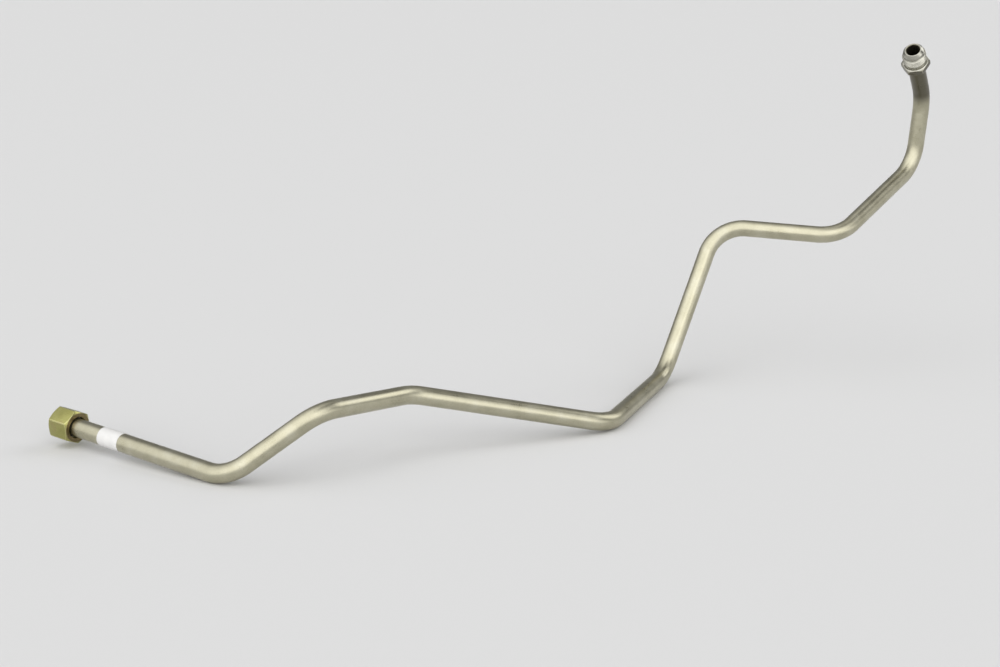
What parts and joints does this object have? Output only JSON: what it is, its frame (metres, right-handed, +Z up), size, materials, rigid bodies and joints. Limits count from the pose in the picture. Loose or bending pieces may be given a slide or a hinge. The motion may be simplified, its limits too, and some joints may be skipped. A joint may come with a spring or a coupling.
{
  "type": "hydraulic tube",
  "caption": "Rigid bent steel hydraulic line with a flared end and a loose hexagon swivel nut at one end, and a brazed threaded male flare connector at the other.",
  "frame": {"origin": "bottom centre of the bounding box, with the part lying on the floor on three of its bends", "axes": "+X from the swivel nut's end to the connector's end, along the part's longest extent; +Z up, out of the floor"},
  "size_m": [0.8118, 0.3924, 0.3153],
  "materials": {
    "tube_steel": "satin, warm grey plated steel",
    "sleeve_steel": "turned steel",
    "yellow_zinc": "yellow zinc plated steel, satin",
    "plated_steel": "silver zinc plated steel, turned and milled",
    "braze_metal": "dull braze metal",
    "label_film": "white film, blank"
  },
  "bodies": {
    "tube_body": {"tube": "tube_steel", "male_connector": "plated_steel", "braze_fillet": "braze_metal", "label": "label_film"},
    "sleeve_body": {"tube_sleeve": "sleeve_steel"},
    "nut_body": {"tube_nut": "yellow_zinc"}
  },
  "joints": [
    {"name": "sleeve_slide", "type": "slide", "parent": "tube_body", "child": "sleeve_body", "axis": [0.8294, -0.5548, -0.0653], "range_m": [0, 0.027]},
    {"name": "nut_swivel", "type": "hinge", "parent": "sleeve_body", "child": "nut_body", "pos_m": [-0.38976, -0.08881, 0.01871], "axis": [0.8294, -0.5548, -0.0653], "continuous": true}
  ]
}
